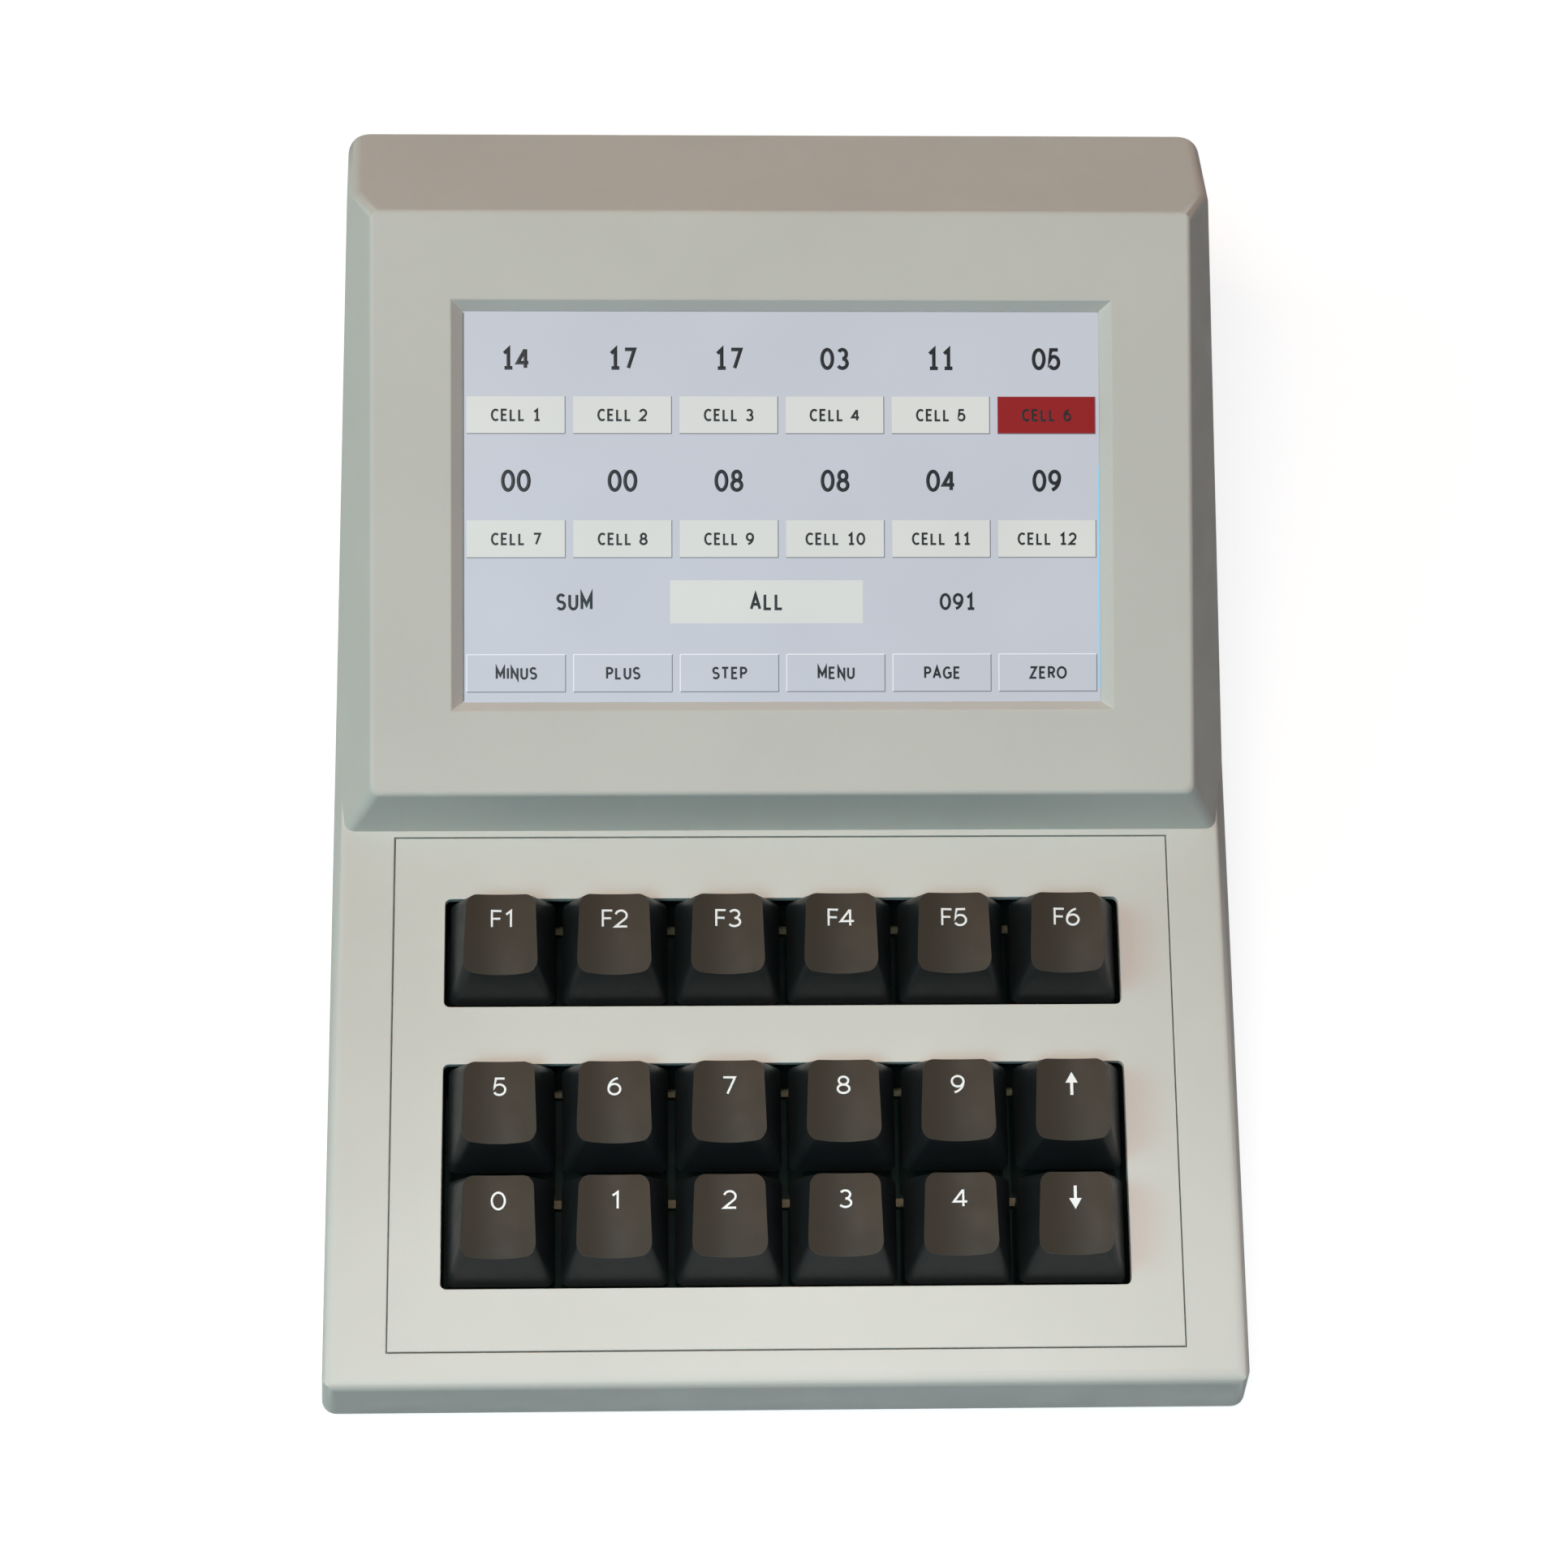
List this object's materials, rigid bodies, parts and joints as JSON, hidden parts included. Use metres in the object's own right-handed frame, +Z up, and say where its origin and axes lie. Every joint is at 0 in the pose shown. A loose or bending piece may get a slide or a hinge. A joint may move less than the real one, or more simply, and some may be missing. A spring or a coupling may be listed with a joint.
{
  "type": "differential cell counter",
  "caption": "Wedge-shaped desk case with sculpted tally keys in an inset panel, a tilted display hood with a recessed screen, and a rear wall with rocker switch and sockets.",
  "frame": {"origin": "centre of the bounding box in plan, on the table under the rubber feet", "axes": "+X to the right of the person at the keys, +Y to the rear wall, +Z up"},
  "size_m": [0.16, 0.223, 0.0743],
  "materials": {
    "case_plastic": "fine texture",
    "panel_plastic": "fine texture",
    "base_plastic": "matt",
    "cap_plastic": "satin",
    "stem_plastic": "satin",
    "black_plastic": "satin",
    "screen_glass": "polished, lit picture",
    "lcd_metal": "folded sheet",
    "bracket_plastic": "matt",
    "board_green": "solder mask",
    "steel": "plain",
    "spring_steel": "drawn wire",
    "contact_brass": "plain",
    "diode_tan": "moulded",
    "insert_plastic": "satin",
    "cable_grey": "flat",
    "foot_rubber": "matt"
  },
  "bodies": {
    "case": {"upper_housing": "case_plastic", "base_plate": "base_plastic", "key_panel": "panel_plastic", "display_glass": "screen_glass", "lcd_panel": "lcd_metal", "lcd_bracket": "bracket_plastic", "main_board": "board_green", "small_screws": "steel", "switch_board": "board_green", "switch_bases": "black_plastic", "switch_tops": "black_plastic", "key_springs": "spring_steel", "switch_pins": "contact_brass", "board_diodes": "diode_tan", "power_switch_body": "black_plastic", "dc_inlet": "black_plastic", "usb_shell": "steel", "usb_insert": "insert_plastic", "io_board": "board_green", "buzzer": "black_plastic", "ribbon_cables": "cable_grey", "rubber_feet": "foot_rubber", "base_screws": "steel"},
    "key_f1": {"keycap_f1": "cap_plastic", "stem_f1": "stem_plastic"},
    "key_f2": {"keycap_f2": "cap_plastic", "stem_f2": "stem_plastic"},
    "key_f3": {"keycap_f3": "cap_plastic", "stem_f3": "stem_plastic"},
    "key_f4": {"keycap_f4": "cap_plastic", "stem_f4": "stem_plastic"},
    "key_f5": {"keycap_f5": "cap_plastic", "stem_f5": "stem_plastic"},
    "key_f6": {"keycap_f6": "cap_plastic", "stem_f6": "stem_plastic"},
    "key_5": {"keycap_5": "cap_plastic", "stem_5": "stem_plastic"},
    "key_6": {"keycap_6": "cap_plastic", "stem_6": "stem_plastic"},
    "key_7": {"keycap_7": "cap_plastic", "stem_7": "stem_plastic"},
    "key_8": {"keycap_8": "cap_plastic", "stem_8": "stem_plastic"},
    "key_9": {"keycap_9": "cap_plastic", "stem_9": "stem_plastic"},
    "key_up": {"keycap_up": "cap_plastic", "stem_up": "stem_plastic"},
    "key_0": {"keycap_0": "cap_plastic", "stem_0": "stem_plastic"},
    "key_1": {"keycap_1": "cap_plastic", "stem_1": "stem_plastic"},
    "key_2": {"keycap_2": "cap_plastic", "stem_2": "stem_plastic"},
    "key_3": {"keycap_3": "cap_plastic", "stem_3": "stem_plastic"},
    "key_4": {"keycap_4": "cap_plastic", "stem_4": "stem_plastic"},
    "key_down": {"keycap_down": "cap_plastic", "stem_down": "stem_plastic"},
    "rocker": {"power_rocker": "black_plastic"}
  },
  "joints": [
    {"name": "press_f1", "type": "slide", "parent": "case", "child": "key_f1", "axis": [0, 0.1045, -0.9945], "range_m": [0, 0.004], "stiffness_N_per_m": 120, "springref_m": -0.003, "deforming": ["key_springs"]},
    {"name": "press_f2", "type": "slide", "parent": "case", "child": "key_f2", "axis": [0, 0.1045, -0.9945], "range_m": [0, 0.004], "stiffness_N_per_m": 120, "springref_m": -0.003, "deforming": ["key_springs"]},
    {"name": "press_f3", "type": "slide", "parent": "case", "child": "key_f3", "axis": [0, 0.1045, -0.9945], "range_m": [0, 0.004], "stiffness_N_per_m": 120, "springref_m": -0.003, "deforming": ["key_springs"]},
    {"name": "press_f4", "type": "slide", "parent": "case", "child": "key_f4", "axis": [0, 0.1045, -0.9945], "range_m": [0, 0.004], "stiffness_N_per_m": 120, "springref_m": -0.003, "deforming": ["key_springs"]},
    {"name": "press_f5", "type": "slide", "parent": "case", "child": "key_f5", "axis": [0, 0.1045, -0.9945], "range_m": [0, 0.004], "stiffness_N_per_m": 120, "springref_m": -0.003, "deforming": ["key_springs"]},
    {"name": "press_f6", "type": "slide", "parent": "case", "child": "key_f6", "axis": [0, 0.1045, -0.9945], "range_m": [0, 0.004], "stiffness_N_per_m": 120, "springref_m": -0.003, "deforming": ["key_springs"]},
    {"name": "press_5", "type": "slide", "parent": "case", "child": "key_5", "axis": [0, 0.1045, -0.9945], "range_m": [0, 0.004], "stiffness_N_per_m": 120, "springref_m": -0.003, "deforming": ["key_springs"]},
    {"name": "press_6", "type": "slide", "parent": "case", "child": "key_6", "axis": [0, 0.1045, -0.9945], "range_m": [0, 0.004], "stiffness_N_per_m": 120, "springref_m": -0.003, "deforming": ["key_springs"]},
    {"name": "press_7", "type": "slide", "parent": "case", "child": "key_7", "axis": [0, 0.1045, -0.9945], "range_m": [0, 0.004], "stiffness_N_per_m": 120, "springref_m": -0.003, "deforming": ["key_springs"]},
    {"name": "press_8", "type": "slide", "parent": "case", "child": "key_8", "axis": [0, 0.1045, -0.9945], "range_m": [0, 0.004], "stiffness_N_per_m": 120, "springref_m": -0.003, "deforming": ["key_springs"]},
    {"name": "press_9", "type": "slide", "parent": "case", "child": "key_9", "axis": [0, 0.1045, -0.9945], "range_m": [0, 0.004], "stiffness_N_per_m": 120, "springref_m": -0.003, "deforming": ["key_springs"]},
    {"name": "press_up", "type": "slide", "parent": "case", "child": "key_up", "axis": [0, 0.1045, -0.9945], "range_m": [0, 0.004], "stiffness_N_per_m": 120, "springref_m": -0.003, "deforming": ["key_springs"]},
    {"name": "press_0", "type": "slide", "parent": "case", "child": "key_0", "axis": [0, 0.1045, -0.9945], "range_m": [0, 0.004], "stiffness_N_per_m": 120, "springref_m": -0.003, "deforming": ["key_springs"]},
    {"name": "press_1", "type": "slide", "parent": "case", "child": "key_1", "axis": [0, 0.1045, -0.9945], "range_m": [0, 0.004], "stiffness_N_per_m": 120, "springref_m": -0.003, "deforming": ["key_springs"]},
    {"name": "press_2", "type": "slide", "parent": "case", "child": "key_2", "axis": [0, 0.1045, -0.9945], "range_m": [0, 0.004], "stiffness_N_per_m": 120, "springref_m": -0.003, "deforming": ["key_springs"]},
    {"name": "press_3", "type": "slide", "parent": "case", "child": "key_3", "axis": [0, 0.1045, -0.9945], "range_m": [0, 0.004], "stiffness_N_per_m": 120, "springref_m": -0.003, "deforming": ["key_springs"]},
    {"name": "press_4", "type": "slide", "parent": "case", "child": "key_4", "axis": [0, 0.1045, -0.9945], "range_m": [0, 0.004], "stiffness_N_per_m": 120, "springref_m": -0.003, "deforming": ["key_springs"]},
    {"name": "press_down", "type": "slide", "parent": "case", "child": "key_down", "axis": [0, 0.1045, -0.9945], "range_m": [0, 0.004], "stiffness_N_per_m": 120, "springref_m": -0.003, "deforming": ["key_springs"]},
    {"name": "rocker_tilt", "type": "hinge", "parent": "case", "child": "rocker", "pos_m": [0.038, 0.10609, 0.024], "axis": [0, 0, -1], "range_deg": [0, 16]}
  ]
}
